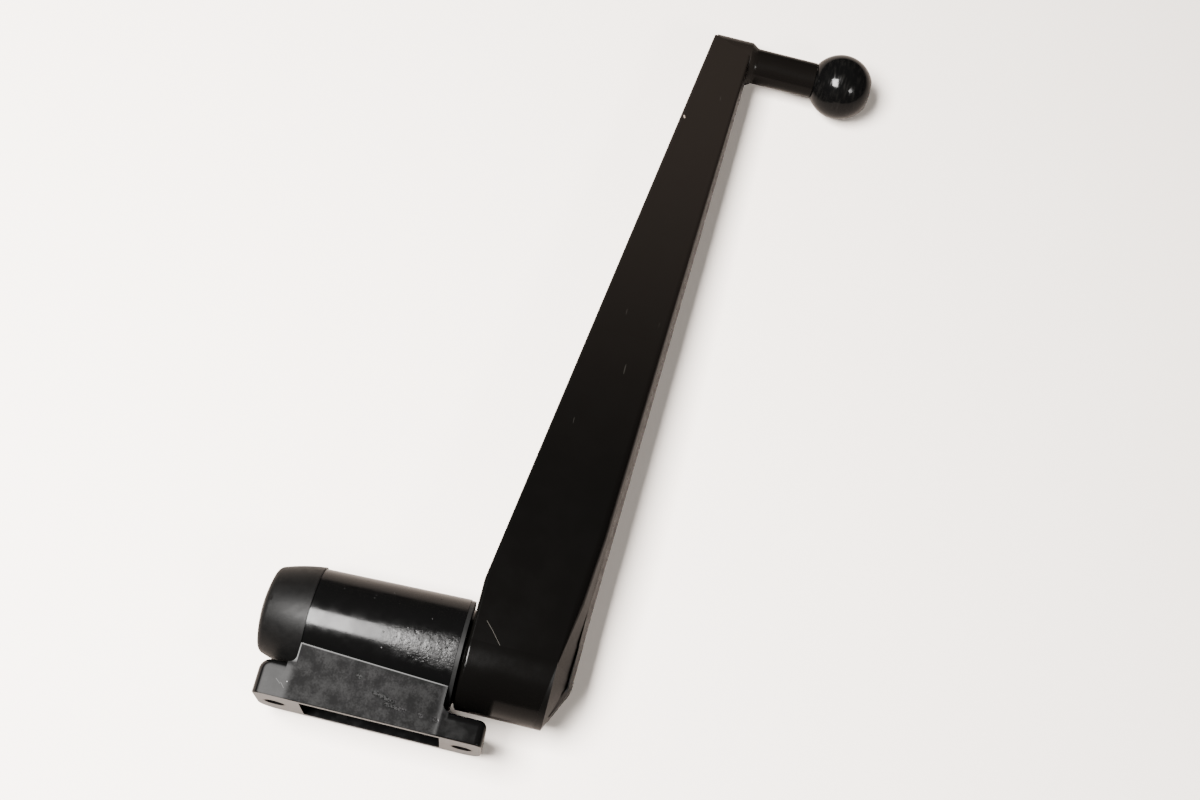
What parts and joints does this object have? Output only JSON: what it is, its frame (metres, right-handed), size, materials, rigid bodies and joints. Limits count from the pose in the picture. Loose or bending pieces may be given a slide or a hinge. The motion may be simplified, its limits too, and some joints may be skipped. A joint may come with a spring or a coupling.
{
  "type": "window crank operator",
  "caption": "Lever crank for a window: cast housing on a two-hole foot, long tapered crank arm with a cover strip, and a spinning ball knob.",
  "frame": {"origin": "midpoint between the two tapped holes, on the foot's mounting face", "axes": "-Y is the mounting face's outward normal, so the arm stands up along +Y; +X runs along the spindle from the end cap to the knob; +Z points out of the flat front face that foot and web share"},
  "size_m": [0.2118, 0.3794, 0.0481],
  "materials": {
    "housing_paint": "gloss",
    "arm_paint": "satin",
    "cap_plastic": "matte",
    "cover_plastic": "satin",
    "knob_plastic": "gloss",
    "washer_plastic": "satin",
    "bearing_bronze": "satin",
    "steel": "satin",
    "dark_steel": "satin",
    "spring_steel": "satin",
    "seal_rubber": "matte",
    "friction_lining": "matte"
  },
  "bodies": {
    "housing": {"housing": "housing_paint", "end_cap": "cap_plastic", "cap_o_ring": "seal_rubber", "left_bush": "bearing_bronze", "right_bush": "bearing_bronze", "thrust_washer": "washer_plastic", "friction_disc": "friction_lining"},
    "crank": {"spindle": "steel", "drive_pinion": "steel", "pinion_key": "steel", "pinion_circlips": "spring_steel", "pressure_disc": "steel", "disc_springs": "spring_steel", "brake_nut": "steel", "crank_arm": "arm_paint", "arm_key": "steel", "hub_washer": "steel", "hub_bolt": "dark_steel", "arm_cover": "cover_plastic", "cover_screws": "dark_steel", "knob_pin": "dark_steel", "knob_washer": "steel"},
    "knob": {"ball_knob": "knob_plastic", "knob_bush": "washer_plastic", "knob_plug": "knob_plastic"}
  },
  "joints": [
    {"name": "crank_turn", "type": "hinge", "parent": "housing", "child": "crank", "pos_m": [0, 0.0375, 0], "axis": [1, 0, 0], "range_deg": [-90, 90]},
    {"name": "knob_spin", "type": "hinge", "parent": "crank", "child": "knob", "pos_m": [0.1416, 0.3634, -0.00814], "axis": [1, 0, 0], "continuous": true}
  ]
}
